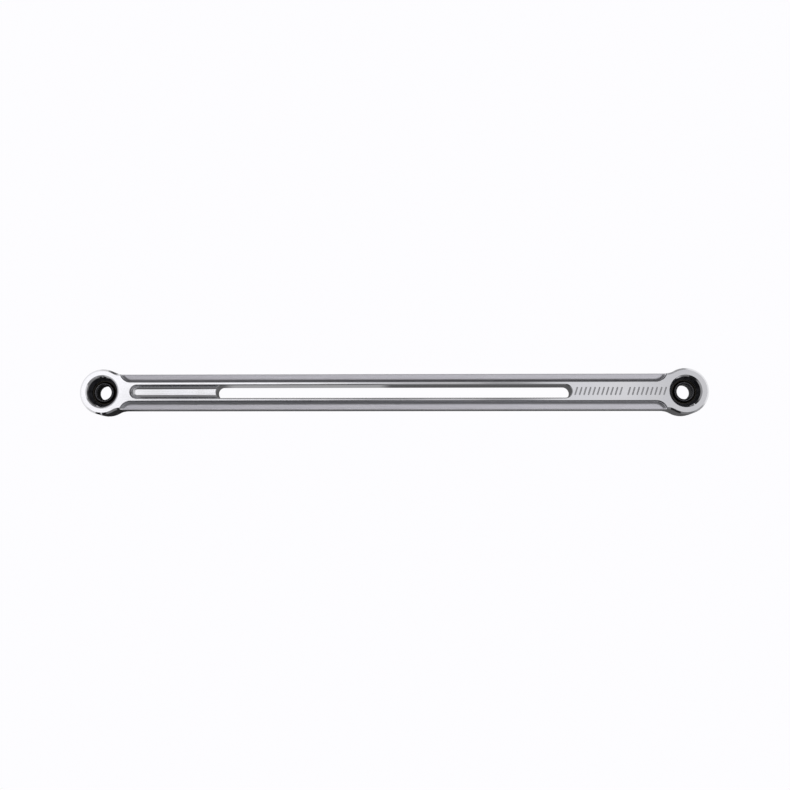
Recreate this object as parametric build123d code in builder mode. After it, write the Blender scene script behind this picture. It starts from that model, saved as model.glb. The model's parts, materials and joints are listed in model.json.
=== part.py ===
"""Billet shift linkage rod: a fluted, slotted bar with a spherical bearing held in the eye at each end.

The rod lies flat: X runs along it, Y across it and Z through its thickness, along the bearing bores.
The origin is at mid length and mid thickness. All sizes are in millimetres.
"""

import math
import os

from build123d import *

# Rod blank
centre_distance = 317.5
thickness = 15.875
eye_diameter = 25.0
bar_height = 19.5
waist_radius = 6.5
face_edge_break = 1.0

# Flutes: rebates along both long edges, front and back, that leave a raised ridge between them
ridge_height = 10.2
flute_depth = 2.7
flute_end_radius = 6.5
flute_end_from_eye = 16.0
flute_root_radius = 2.2
ridge_edge_break = 0.2
flange_edge_radius = 0.4

# Slot through the ridge, and the blind pocket that carries on from its left end
slot_width = 7.1
slot_length = 194.4
slot_centre = 0.6
pocket_left_end = -143.2
pocket_depth = 3.0
pocket_root_radius = 2.0
slot_edge_break = 0.4

# Decorative tick marks engraved in the web right of the slot
tick_length = 4.6
tick_width = 0.8
tick_depth = 0.25
tick_pitch = 2.4
tick_slant = 72.0
tick_groups = [(112.0, 11), (138.0, 9)]

# Spherical plain bearing: bore, race outside diameter, ball width and race width
bore_diameter = 8.0
race_diameter = 16.0
ball_width = 8.0
race_width = 5.0
ball_diameter = 13.0
bore_chamfer = 0.7
ball_edge_break = 0.15
race_chamfer = 0.3
liner_thickness = 0.45
liner_recess = 0.1
running_clearance = 0.05
eye_rim_chamfer = 0.85

# Constant-section retaining rings and the grooves they sit in
ring_thickness = 1.0
ring_inner_radius = 6.8
ring_gap = 3.6
ring_corner_radius = 0.3
groove_diameter = 16.8
groove_width = 1.1
ring_clearance = 0.02

# Lengths closer than this count as equal when edges are picked
tolerance = 1e-3

half_length = centre_distance / 2
half_thickness = thickness / 2
flange_level = half_thickness - flute_depth
slot_left_end = slot_centre - slot_length / 2
slot_right_end = slot_centre + slot_length / 2
flute_length = centre_distance - 2 * flute_end_from_eye + 2 * flute_end_radius
flute_reach = eye_diameter
flute_offset = ridge_height / 2 + flute_reach / 2
liner_outer_radius = ball_diameter / 2 + running_clearance + liner_thickness
ball_face_radius = math.sqrt(ball_diameter**2 - ball_width**2) / 2
os.makedirs("parts", exist_ok=True)


def write(builder, name):
    """Label a finished piece and write it as its own STEP file."""
    builder.part.label = name
    export_step(builder.part, f"parts/{name}.step")


def flute_outline():
    """The plan of the two front flutes; their ends are arcs tangent to the ridge."""
    with BuildSketch(Plane.XY.offset(half_thickness)) as outline:
        with Locations((0, flute_offset), (0, -flute_offset)):
            RectangleRounded(flute_length, flute_reach, flute_end_radius)
    return outline.sketch


def slot_outline(left_end, right_end):
    """A round-ended slot on the rod's centre line, drawn on the front face."""
    with BuildSketch(Plane.XY.offset(half_thickness)) as outline:
        with Locations(((left_end + right_end) / 2, 0)):
            SlotOverall(right_end - left_end, slot_width)
    return outline.sketch


# Cutter for the flutes, with a round root and a bevel where it leaves the front face
with BuildPart() as flute_cutter:
    extrude(flute_outline(), amount=-flute_depth)
    fillet(flute_cutter.faces().group_by(Axis.Z)[0].edges(), flute_root_radius)

with BuildPart() as ridge_bevel:
    with BuildSketch(Plane.XY.offset(half_thickness)) as bevel_mouth:
        with Locations((0, flute_offset), (0, -flute_offset)):
            RectangleRounded(
                flute_length + 2 * ridge_edge_break,
                flute_reach + 2 * ridge_edge_break,
                flute_end_radius + ridge_edge_break,
            )
    extrude(amount=-ridge_edge_break, taper=45)

# Cutter for the pocket, with a round root
with BuildPart() as pocket_cutter:
    extrude(slot_outline(pocket_left_end, slot_centre), amount=-pocket_depth)
    fillet(pocket_cutter.faces().sort_by(Axis.Z)[0].edges(), pocket_root_radius)

# Rod: the front half is cut from the blank, then mirrored to make the back
with BuildPart() as rod_body:
    with BuildSketch() as blank:
        Rectangle(centre_distance, bar_height)
        with Locations((-half_length, 0), (half_length, 0)):
            Circle(eye_diameter / 2)
        waist = blank.vertices().filter_by(lambda v: abs(v.X) < half_length)
        fillet(waist, waist_radius)
    extrude(amount=half_thickness)
    chamfer(rod_body.faces().sort_by(Axis.Z)[-1].edges(), face_edge_break)
    add(flute_cutter.part, mode=Mode.SUBTRACT)
    add(ridge_bevel.part, mode=Mode.SUBTRACT)
    add(pocket_cutter.part, mode=Mode.SUBTRACT)
    extrude(slot_outline(slot_left_end, slot_right_end), amount=-thickness, mode=Mode.SUBTRACT)

    with BuildSketch() as eye_bores:
        with Locations((-half_length, 0), (half_length, 0)):
            Circle(race_diameter / 2)
    extrude(amount=thickness, mode=Mode.SUBTRACT)
    with BuildSketch(Plane.XY.offset(race_width / 2)) as ring_grooves:
        with Locations((-half_length, 0), (half_length, 0)):
            Circle(groove_diameter / 2)
    extrude(amount=groove_width, mode=Mode.SUBTRACT)

    front_face = rod_body.faces().sort_by(Axis.Z)[-1]
    eye_rims = front_face.edges().filter_by(GeomType.CIRCLE).filter_by(
        lambda e: abs(e.radius - race_diameter / 2) < tolerance
    )
    chamfer(eye_rims, eye_rim_chamfer)
    slot_rim = rod_body.faces().sort_by(Axis.Z)[-1].edges().filter_by(
        lambda e: max(abs(v.Y) for v in e.vertices()) < slot_width / 2 + tolerance
        and max(abs(v.X) for v in e.vertices()) < half_length - race_diameter / 2
    )
    chamfer(slot_rim, slot_edge_break)
    flange_edges = rod_body.edges().filter_by(Axis.X).filter_by(
        lambda e: abs(abs(e.center().Y) - bar_height / 2) < tolerance
        and abs(e.center().Z - flange_level) < tolerance
    )
    fillet(flange_edges, flange_edge_radius)
    mirror(about=Plane.XY)

    for group_centre, tick_count in tick_groups:
        with BuildSketch(Plane.XY.offset(half_thickness)) as ticks:
            with Locations((group_centre, 0)):
                with GridLocations(tick_pitch, tick_length, tick_count, 1):
                    SlotOverall(tick_length, tick_width, rotation=tick_slant)
        extrude(amount=-tick_depth, mode=Mode.SUBTRACT)
write(rod_body, "rod_body")

for side, eye_x in (("left", -half_length), ("right", half_length)):
    # Race: pressed into the eye, hollowed to a sphere for the liner
    with BuildPart(Location((eye_x, 0, 0))) as outer_race:
        Cylinder(race_diameter / 2, race_width)
        chamfer(outer_race.edges(), race_chamfer)
        Sphere(liner_outer_radius, mode=Mode.SUBTRACT)
    write(outer_race, f"{side}_outer_race")

    # Liner: a thin low-friction band bonded inside the race
    with BuildPart(Location((eye_x, 0, 0))) as liner:
        Sphere(liner_outer_radius)
        Sphere(liner_outer_radius - liner_thickness, mode=Mode.SUBTRACT)
        Box(
            race_diameter,
            race_diameter,
            race_width - 2 * liner_recess,
            mode=Mode.INTERSECT,
        )
    write(liner, f"{side}_liner")

    # Ball: a sphere cut flat on both faces and bored for the bolt
    with BuildPart(Location((eye_x, 0, 0))) as ball:
        Sphere(ball_diameter / 2)
        Box(ball_diameter, ball_diameter, ball_width, mode=Mode.INTERSECT)
        Cylinder(bore_diameter / 2, ball_width, mode=Mode.SUBTRACT)
        bore_rims = ball.edges().filter_by(
            lambda e: e.geom_type == GeomType.CIRCLE and abs(e.radius - bore_diameter / 2) < tolerance
        )
        face_rims = ball.edges().filter_by(
            lambda e: e.geom_type == GeomType.CIRCLE and abs(e.radius - ball_face_radius) < tolerance
        )
        chamfer(bore_rims, bore_chamfer)
        chamfer(face_rims, ball_edge_break)
    write(ball, f"{side}_ball")

    # Retaining rings: open rings that spring into the grooves each side of the race
    for position, ring_base in (
        ("front", race_width / 2),
        ("rear", -race_width / 2 - ring_thickness),
    ):
        with BuildPart() as retaining_ring:
            with BuildSketch(Plane.XY.offset(ring_base)) as ring_plan:
                with Locations((eye_x, 0)):
                    Circle(groove_diameter / 2 - ring_clearance)
                    Circle(ring_inner_radius, mode=Mode.SUBTRACT)
                    with Locations((0, -race_diameter / 2)):
                        Rectangle(ring_gap, race_diameter / 2, mode=Mode.SUBTRACT)
                fillet(ring_plan.vertices(), ring_corner_radius)
            extrude(amount=ring_thickness)
        write(retaining_ring, f"{side}_{position}_retaining_ring")
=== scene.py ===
"""Looks for the billet shift linkage rod: metals, liner, white sweep, soft studio light and camera."""

import json
import math

import bpy
from mathutils import Matrix, Vector


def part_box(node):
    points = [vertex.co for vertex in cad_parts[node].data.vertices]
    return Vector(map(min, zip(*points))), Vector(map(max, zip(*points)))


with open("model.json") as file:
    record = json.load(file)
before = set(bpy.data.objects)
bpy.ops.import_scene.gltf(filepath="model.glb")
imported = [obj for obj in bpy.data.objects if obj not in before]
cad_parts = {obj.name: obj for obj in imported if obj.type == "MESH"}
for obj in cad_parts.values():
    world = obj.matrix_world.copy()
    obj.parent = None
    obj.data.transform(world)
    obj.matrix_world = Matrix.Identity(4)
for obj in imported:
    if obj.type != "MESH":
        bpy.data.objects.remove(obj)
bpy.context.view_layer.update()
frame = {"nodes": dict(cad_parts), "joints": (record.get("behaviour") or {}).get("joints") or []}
nodes = frame["nodes"]

MM = 0.001
SIDES = ("left", "right")
rod_low, rod_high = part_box("rod_body")
FRONT_Z = rod_high.z
FLOOR_Z = rod_low.z - 0.1 * MM
EYE_X = frame["joints"][1]["pos_m"][0]

# Where the rod's surfaces change finish
RIDGE_HALF = 5.1 * MM
BAR_HALF = 9.75 * MM
SLOT_HALF = 3.55 * MM
FLUTE_DEPTH = 2.7 * MM
BAR_END_X = EYE_X - 10 * MM
POCKET_END_X = -97 * MM
ENGRAVED_DEPTH = 0.25 * MM
ENGRAVED_HALF = 3.0 * MM
ENGRAVED_FROM_X = 98 * MM
ENGRAVED_TO_X = 150 * MM

# Widths of the rubbed edges, and of the painted highlight along the ball's edges
BILLET_EDGE = 0.35 * MM
BLACK_EDGE = 0.12 * MM
BALL_HIGHLIGHT_EDGE = 0.16 * MM

# Liner weave: waves round the band, and radians of wave across it
THREADS_AROUND = 60.0
THREADS_ACROSS = 34.0

# White sweep
FLOOR_SIZE = 8.0
DOME_RADIUS = 5.0
DOME_STEPS = 48
SOFT_WHITE = (0.985, 0.98, 1.0, 1)

# Studio light: the least upward part of a direction when its slopes are taken, then half the length of
# the overhead lights and how softly they end
HORIZON = 0.02
LIGHT_HALF = 0.6
LIGHT_END_SOFT = 0.2
LIGHT_COLOR = (0.975, 0.97, 1.0, 1)

# Camera
CAMERA_DISTANCE = 595.7 * MM
CAMERA_TARGET = (2.12 * MM, -2.02 * MM, FRONT_Z)
CAMERA_ELEVATION = 84.2
CAMERA_SIDEWAYS = 2.1
CAMERA_ROLL = -0.08
NEAR_CLIP = 10 * MM


# ---------------------------------------------------------------- node helpers
class Graph:
    """A material's or world's node tree, with short calls for the nodes used here."""

    def __init__(self, owner):
        owner.use_nodes = True
        self.owner = owner
        self.tree = owner.node_tree
        self.tree.nodes.clear()

    def add(self, kind, **values):
        """Add a node; a value goes to the input of that name, or else to the property."""
        node = self.tree.nodes.new(kind)
        for key, value in values.items():
            if key in node.inputs:
                node.inputs[key].default_value = value
            else:
                setattr(node, key, value)
        return node

    def link(self, source, target):
        self.tree.links.new(source, target)

    def feed(self, socket, value):
        """Put a number, a colour or another node's output into a socket."""
        if isinstance(value, (int, float, tuple)):
            socket.default_value = value
        else:
            self.link(value, socket)

    def math(self, operation, first, second=0.0):
        node = self.add("ShaderNodeMath", operation=operation)
        self.feed(node.inputs[0], first)
        self.feed(node.inputs[1], second)
        return node.outputs[0]

    def size(self, value):
        """A value without its sign."""
        return self.math("ABSOLUTE", value)

    def product(self, *factors):
        result = factors[0]
        for factor in factors[1:]:
            result = self.math("MULTIPLY", result, factor)
        return result

    def total(self, *terms):
        result = terms[0]
        for term in terms[1:]:
            result = self.math("ADD", result, term)
        return result

    def distance(self, first, second):
        """The length of a flat vector with these two parts."""
        squares = self.total(self.math("POWER", first, 2.0), self.math("POWER", second, 2.0))
        return self.math("SQRT", squares)

    def coordinates(self, kind="Object"):
        return self.add("ShaderNodeTexCoord").outputs[kind]

    def split(self, vector):
        node = self.add("ShaderNodeSeparateXYZ")
        self.link(vector, node.inputs[0])
        return node.outputs

    def centred(self):
        """Generated coordinates, with X and Y measured from the piece's middle."""
        x, y, z = self.split(self.coordinates("Generated"))
        return self.math("SUBTRACT", x, 0.5), self.math("SUBTRACT", y, 0.5), z

    def scaled(self, vector, scale):
        node = self.add("ShaderNodeMapping", Scale=scale)
        self.link(vector, node.inputs["Vector"])
        return node.outputs[0]

    def noise(self, vector, scale=1.0, detail=2.0, roughness=0.5):
        node = self.add("ShaderNodeTexNoise", Scale=scale, Detail=detail, Roughness=roughness)
        self.link(vector, node.inputs["Vector"])
        return node.outputs["Fac"]

    def ramp(self, value, low, high, low_out=0.0, high_out=1.0):
        """Map a value smoothly from low..high to low_out..high_out, flat outside."""
        node = self.add("ShaderNodeMapRange", interpolation_type="SMOOTHSTEP")
        self.feed(node.inputs["From Min"], low)
        self.feed(node.inputs["From Max"], high)
        self.feed(node.inputs["To Min"], low_out)
        self.feed(node.inputs["To Max"], high_out)
        self.feed(node.inputs["Value"], value)
        return node.outputs["Result"]

    def band(self, value, low, high, soft, top=1.0):
        """top between low and high, fading to 0 over a width of soft at each end."""
        rise = self.ramp(value, low - soft / 2, low + soft / 2)
        fall = self.ramp(value, high - soft / 2, high + soft / 2, top, 0.0)
        return self.product(rise, fall)

    def mix(self, factor, first, second):
        """Blend two numbers."""
        node = self.add("ShaderNodeMix", data_type="FLOAT")
        self.feed(node.inputs["Factor"], factor)
        self.feed(node.inputs["A"], first)
        self.feed(node.inputs["B"], second)
        return node.outputs["Result"]

    def tint(self, factor, first, second):
        """Blend two colours."""
        node = self.add("ShaderNodeMix", data_type="RGBA")
        color_inputs = [socket for socket in node.inputs if socket.type == "RGBA"]
        color_output = [socket for socket in node.outputs if socket.type == "RGBA"][0]
        self.feed(node.inputs["Factor"], factor)
        self.feed(color_inputs[0], first)
        self.feed(color_inputs[1], second)
        return color_output

    def edges(self, width):
        """0 on open surfaces, rising towards 1 within about width of a sharp edge."""
        rounded = self.add("ShaderNodeBevel", Radius=width, samples=6)
        flat = self.add("ShaderNodeNewGeometry")
        turn = self.add("ShaderNodeVectorMath", operation="DOT_PRODUCT")
        self.link(rounded.outputs["Normal"], turn.inputs[0])
        self.link(flat.outputs["Normal"], turn.inputs[1])
        return self.ramp(turn.outputs["Value"], 0.995, 0.86)

    def bump(self, height, distance, normal=None):
        node = self.add("ShaderNodeBump", Distance=distance)
        self.link(height, node.inputs["Height"])
        if normal is not None:
            self.link(normal, node.inputs["Normal"])
        return node.outputs["Normal"]

    def principled(self, metallic, color, roughness, normal):
        """Finish a material with one shader."""
        shader = self.add("ShaderNodeBsdfPrincipled", Metallic=metallic)
        self.link(color, shader.inputs["Base Color"])
        self.link(roughness, shader.inputs["Roughness"])
        self.link(normal, shader.inputs["Normal"])
        self.surface(shader)

    def surface(self, shader):
        output = self.add("ShaderNodeOutputMaterial")
        self.link(shader.outputs[0], output.inputs["Surface"])


def new_material(name):
    return Graph(bpy.data.materials.new(name))


def use(node_name, graph):
    """Give a CAD node its material."""
    piece = nodes[node_name]
    piece.data.materials.clear()
    piece.data.materials.append(graph.owner)


# ---------------------------------------------------------------- materials
def polished_billet():
    """Chrome on billet: mirror faces, satin flutes, milled slot walls, painted shade on the steep flute
    and pocket walls, and matte engraving.
    """
    g = new_material("polished_billet")
    where = g.coordinates()
    x, y, z = g.split(where)
    from_centre = g.size(y)
    depth = g.math("SUBTRACT", FRONT_Z, g.size(z))
    front_depth = g.math("SUBTRACT", FRONT_Z, z)
    level = g.size(g.split(g.coordinates("Normal"))[2])
    between_eyes = g.ramp(g.size(x), BAR_END_X + 1 * MM, BAR_END_X)

    flute_floor = g.product(
        g.ramp(level, 0.3, 0.7),
        g.band(depth, 0.6 * FLUTE_DEPTH, 1.3 * FLUTE_DEPTH, 0.3 * MM),
        g.band(from_centre, RIDGE_HALF + 0.4 * MM, BAR_HALF + 0.1 * MM, 0.4 * MM),
        between_eyes,
    )
    slot_wall = g.product(
        g.ramp(level, 0.6, 0.2),
        g.ramp(from_centre, SLOT_HALF + 0.2 * MM, SLOT_HALF),
        g.ramp(depth, 0.1 * MM, 0.3 * MM),
        between_eyes,
    )
    # Painted shade on the steep and rounded parts of the flutes, and less of it in the pocket
    in_flute = g.band(from_centre, RIDGE_HALF - 0.2 * MM, BAR_HALF - 0.7 * MM, 0.2 * MM)
    in_pocket = g.product(
        g.ramp(from_centre, SLOT_HALF + 0.3 * MM, SLOT_HALF + 0.1 * MM),
        g.ramp(x, POCKET_END_X + 1 * MM, POCKET_END_X),
        0.4,
    )
    painted_recess_shade = g.product(
        g.ramp(level, 0.99, 0.93),
        g.ramp(depth, 0.15 * MM, 0.35 * MM),
        between_eyes,
        g.total(in_flute, in_pocket),
    )
    engraving = g.product(
        g.ramp(front_depth, 0.05 * MM, 0.15 * MM),
        g.ramp(front_depth, ENGRAVED_DEPTH + 0.1 * MM, ENGRAVED_DEPTH + 0.05 * MM),
        g.ramp(from_centre, ENGRAVED_HALF + 0.4 * MM, ENGRAVED_HALF),
        g.band(x, ENGRAVED_FROM_X, ENGRAVED_TO_X, 0.5 * MM),
    )

    polish = g.noise(g.scaled(where, (60, 5200, 5200)), detail=3.0)
    brush = g.noise(g.scaled(where, (45, 2600, 2600)), detail=4.0, roughness=0.65)
    milled = g.noise(g.scaled(where, (1500, 300, 60)), detail=2.0)
    handled = g.noise(where, 70.0, detail=3.0)
    swell = g.noise(where, 60.0, detail=1.0)
    wear = g.product(g.edges(BILLET_EDGE), g.ramp(g.noise(where, 450.0, detail=3.0), 0.4, 0.65))

    color = g.tint(g.ramp(handled, 0.35, 0.65), (0.86, 0.865, 0.885, 1), (0.89, 0.89, 0.9, 1))
    color = g.tint(flute_floor, color, (0.85, 0.84, 0.885, 1))
    # Painted shade: the steep flute and pocket walls are darkened in the colour
    color = g.tint(painted_recess_shade, color, (0.4, 0.4, 0.42, 1))
    color = g.tint(g.product(wear, 0.5), color, (0.7, 0.7, 0.7, 1))
    color = g.tint(engraving, color, (0.55, 0.55, 0.56, 1))

    roughness = g.total(
        g.ramp(polish, 0.35, 0.7, 0.045, 0.09),
        g.ramp(handled, 0.45, 0.75, 0.0, 0.03),
        g.product(flute_floor, g.ramp(brush, 0.3, 0.7, 0.2, 0.3)),
        g.product(slot_wall, 0.1),
        g.product(wear, 0.16),
        g.product(engraving, 0.4),
    )

    normal = g.bump(swell, 0.012 * MM)
    normal = g.bump(polish, 0.0012 * MM, normal)
    normal = g.bump(g.product(brush, flute_floor), 0.008 * MM, normal)
    normal = g.bump(g.product(milled, slot_wall), 0.008 * MM, normal)
    normal = g.bump(g.math("SUBTRACT", 1.0, wear), 0.003 * MM, normal)
    g.principled(1.0, color, roughness, normal)
    return g


def black_steel():
    """Black phosphate on the races and rings, rubbed back to grey steel along the edges."""
    g = new_material("black_steel")
    where = g.coordinates()
    grain = g.noise(where, 2600.0, detail=4.0)
    cloud = g.noise(where, 380.0, detail=2.0)
    worn = g.product(g.edges(BLACK_EDGE), g.ramp(grain, 0.3, 0.6, 0.35, 1.0))

    color = g.tint(g.ramp(cloud, 0.35, 0.65), (0.012, 0.012, 0.014, 1), (0.03, 0.03, 0.034, 1))
    color = g.tint(worn, color, (0.16, 0.16, 0.165, 1))
    roughness = g.total(g.ramp(grain, 0.3, 0.7, 0.3, 0.46), g.product(worn, -0.1))
    g.principled(0.85, color, roughness, g.bump(grain, 0.01 * MM))
    return g


def ball_steel():
    """Dark hardened ball, ground in rings about its bore, with bright ground edges that also carry a
    painted highlight.
    """
    g = new_material("ball_steel")
    across_x, across_y, along_bore = g.centred()
    ring_place = g.add("ShaderNodeCombineXYZ")
    g.link(g.distance(across_x, across_y), ring_place.inputs["X"])
    g.link(along_bore, ring_place.inputs["Z"])
    rings = g.noise(g.scaled(ring_place.outputs[0], (130, 130, 130)), detail=3.0)
    grain = g.noise(g.coordinates(), 1500.0, detail=2.0)

    color = g.tint(g.ramp(rings, 0.35, 0.65), (0.05, 0.05, 0.055, 1), (0.1, 0.1, 0.107, 1))
    # Painted highlight: the ball's edges are lightened to bright steel, partly for ground steel and partly
    # for the light they catch
    color = g.tint(g.edges(BALL_HIGHLIGHT_EDGE), color, (0.55, 0.54, 0.53, 1))
    roughness = g.total(g.ramp(rings, 0.3, 0.7, 0.14, 0.26), g.ramp(grain, 0.4, 0.7, 0.0, 0.05))
    g.principled(1.0, color, roughness, g.bump(rings, 0.004 * MM))
    return g


def liner_fabric():
    """Woven low-friction liner: crossed threads in a dark resin."""
    g = new_material("liner_fabric")
    across_x, across_y, along_bore = g.centred()
    around = g.math("ARCTAN2", across_y, across_x)
    threads = g.product(
        g.size(g.math("SINE", g.product(around, THREADS_AROUND))),
        g.size(g.math("SINE", g.product(along_bore, THREADS_ACROSS))),
    )
    fibre = g.ramp(g.noise(g.coordinates(), 5000.0, detail=2.0), 0.3, 0.7, -0.2, 0.2)

    color = g.tint(g.total(threads, fibre), (0.025, 0.02, 0.014, 1), (0.11, 0.09, 0.06, 1))
    roughness = g.ramp(threads, 0.0, 1.0, 0.8, 0.55)
    g.principled(0.0, color, roughness, g.bump(threads, 0.05 * MM))
    return g


billet, black, steel, fabric = polished_billet(), black_steel(), ball_steel(), liner_fabric()
use("rod_body", billet)
for side in SIDES:
    for black_piece in ("outer_race", "front_retaining_ring", "rear_retaining_ring"):
        use(f"{side}_{black_piece}", black)
    use(f"{side}_liner", fabric)
    use(f"{side}_ball", steel)


# ---------------------------------------------------------------- white sweep
def stage_mesh(name, graph, corners, faces):
    mesh = bpy.data.meshes.new(name)
    mesh.from_pydata(corners, [], faces)
    piece = bpy.data.objects.new(name, mesh)
    mesh.materials.append(graph.owner)
    bpy.context.scene.collection.objects.link(piece)
    return piece


def floor_plane(name, graph):
    ring = [(-1, -1), (1, -1), (1, 1), (-1, 1)]
    corners = [(FLOOR_SIZE * x, FLOOR_SIZE * y, FLOOR_Z) for x, y in ring]
    return stage_mesh(name, graph, corners, [(0, 1, 2, 3)])


def glow(name, strength):
    """A shadeless material; strength is a number, or a function of its graph that returns one."""
    g = new_material(name)
    light = g.add("ShaderNodeEmission", Color=SOFT_WHITE)
    g.feed(light.inputs["Strength"], strength(g) if callable(strength) else strength)
    g.surface(light)
    return g


def seen_only_by(piece, camera, reflections):
    piece.visible_camera = camera
    piece.visible_glossy = reflections
    piece.visible_diffuse = reflections
    piece.visible_shadow = False
    piece.visible_transmission = False


def reflected_floor(g):
    """The tone of the floor as the metal mirrors it: in shade beside the rod and pale further out, with
    painted light under the slot and spilling past the left end.
    """
    x, y, _ = g.split(g.coordinates())
    from_centre = g.size(y)
    past_eye = g.math("MAXIMUM", g.math("SUBTRACT", g.size(x), EYE_X), 0.0)
    from_rod = g.math("SUBTRACT", g.distance(past_eye, from_centre), BAR_HALF)
    near = g.ramp(x, -150 * MM, -135 * MM, 0.02, 0.1)
    far = g.ramp(from_rod, 90 * MM, 150 * MM, 0.9, 0.35)
    shade = g.mix(g.ramp(from_rod, 5 * MM, 30 * MM), near, far)
    # Painted light on the floor under the slot
    painted_slot_light = g.product(
        g.ramp(from_centre, 7 * MM, 5 * MM),
        g.band(x, -92 * MM, -4 * MM, 8 * MM),
        0.25,
    )
    left_spill = g.ramp(x, -163 * MM, -175 * MM, 0.0, 0.7)
    return g.math("MAXIMUM", g.total(shade, painted_slot_light), left_spill)


def white_dome():
    """A ring of pale wall that fills the view above the floor."""
    turns = [2 * math.pi * i / DOME_STEPS for i in range(DOME_STEPS)]
    ring = [(DOME_RADIUS * math.cos(turn), DOME_RADIUS * math.sin(turn)) for turn in turns]
    low = [(x, y, FLOOR_Z - DOME_RADIUS / 2) for x, y in ring]
    high = [(x, y, DOME_RADIUS) for x, y in ring]
    walls = []
    for i in range(DOME_STEPS):
        following = (i + 1) % DOME_STEPS
        walls.append((i, following, DOME_STEPS + following, DOME_STEPS + i))
    return stage_mesh("white_dome", glow("white_dome", 1.0), low + high, walls)


# The camera sees a plain white floor; the metal mirrors a second one that is in shade beside the rod
light_table = floor_plane("light_table", glow("light_table", 1.0))
seen_only_by(light_table, camera=True, reflections=False)
shaded_table = floor_plane("shaded_table", glow("shaded_table", reflected_floor))
seen_only_by(shaded_table, camera=False, reflections=True)
seen_only_by(white_dome(), camera=True, reflections=False)


# ---------------------------------------------------------------- studio light
def studio_world():
    """An overhead panel with a brighter strip in it, dim sides, and windows between the two.

    The overhead lights are placed by the slopes of the sky: along is x over z and across is y over z.
    """
    g = Graph(bpy.data.worlds.new("studio"))
    x, y, z = g.split(g.coordinates("Generated"))
    up = g.math("MAXIMUM", z, HORIZON)
    along = g.math("DIVIDE", x, up)
    across = g.math("DIVIDE", y, up)

    rear_side = g.total(
        g.band(x, -0.207, -0.057, 0.03, 0.07),
        g.ramp(x, -0.197, -0.227, 0.0, 0.035),
        g.ramp(x, 0.113, 0.133, 0.0, 0.07),
    )
    near_side = g.total(0.015, g.ramp(x, -0.067, -0.037, 0.0, 0.17))
    window_light = g.ramp(g.size(x), 0.33, 0.45, 0.25, 0.5)
    windows = g.product(g.band(z, 0.42, 0.84, 0.1), window_light)
    sides = g.total(g.mix(g.ramp(y, -0.1, 0.1), near_side, rear_side), windows)
    left_end = g.ramp(x, -0.5, -0.85, 0.0, 0.28)
    low_glow = g.product(g.ramp(z, 0.14, 0.08), g.band(x, -0.335, -0.27, 0.016, 0.7))
    sides = g.math("MAXIMUM", g.math("MAXIMUM", sides, left_end), low_glow)

    light_length = g.band(along, -LIGHT_HALF, LIGHT_HALF, LIGHT_END_SOFT)
    panel = g.product(g.band(across, -0.24, 0.44, 0.1), light_length)
    panel_light = g.ramp(along, -0.16, -0.24, 0.66, 0.18)
    strip = g.product(g.band(across, 0.05, 0.16, 0.03), light_length)
    strip_light = g.total(
        1.14,
        g.ramp(along, -0.187, 0.013, 0.0, -0.62),
        g.band(along, 0.04, 0.085, 0.02, -0.16),
        g.ramp(along, 0.088, 0.118, 0.0, 0.24),
        g.ramp(along, 0.162, 0.222, 0.0, -0.12),
    )
    dim_edge = g.product(g.ramp(across, 0.1015, 0.0955), g.band(along, -0.28, -0.015, 0.01), -0.6)
    strip_light = g.product(strip_light, g.total(1.0, dim_edge))
    strength = g.mix(panel, sides, panel_light)
    strength = g.mix(strip, strength, strip_light)

    light = g.add("ShaderNodeBackground", Color=LIGHT_COLOR)
    g.link(strength, light.inputs["Strength"])
    output = g.add("ShaderNodeOutputWorld")
    g.link(light.outputs[0], output.inputs["Surface"])
    bpy.context.scene.world = g.owner


studio_world()


# ---------------------------------------------------------------- camera
def camera():
    """Nearly straight down on the front face, from a little below and to the right of the rod's middle."""
    elevation = math.radians(CAMERA_ELEVATION)
    sideways = math.radians(CAMERA_SIDEWAYS)
    roll = math.radians(CAMERA_ROLL)
    back = Vector((math.sin(sideways), -math.cos(elevation) * math.cos(sideways), math.sin(elevation)))
    back.normalize()
    level = (Vector((1, 0, 0)) - back * back.x).normalized()
    right = level * math.cos(roll) + back.cross(level) * math.sin(roll)
    lens = bpy.data.cameras.new("camera")
    lens.lens = 50
    lens.sensor_width = 36
    lens.clip_start = NEAR_CLIP
    eye = bpy.data.objects.new("camera", lens)
    eye.location = Vector(CAMERA_TARGET) + back * CAMERA_DISTANCE
    eye.rotation_mode = "QUATERNION"
    eye.rotation_quaternion = Matrix((right, back.cross(right), back)).transposed().to_quaternion()
    bpy.context.scene.collection.objects.link(eye)
    bpy.context.scene.camera = eye


camera()
bpy.context.scene.view_settings.view_transform = "Standard"
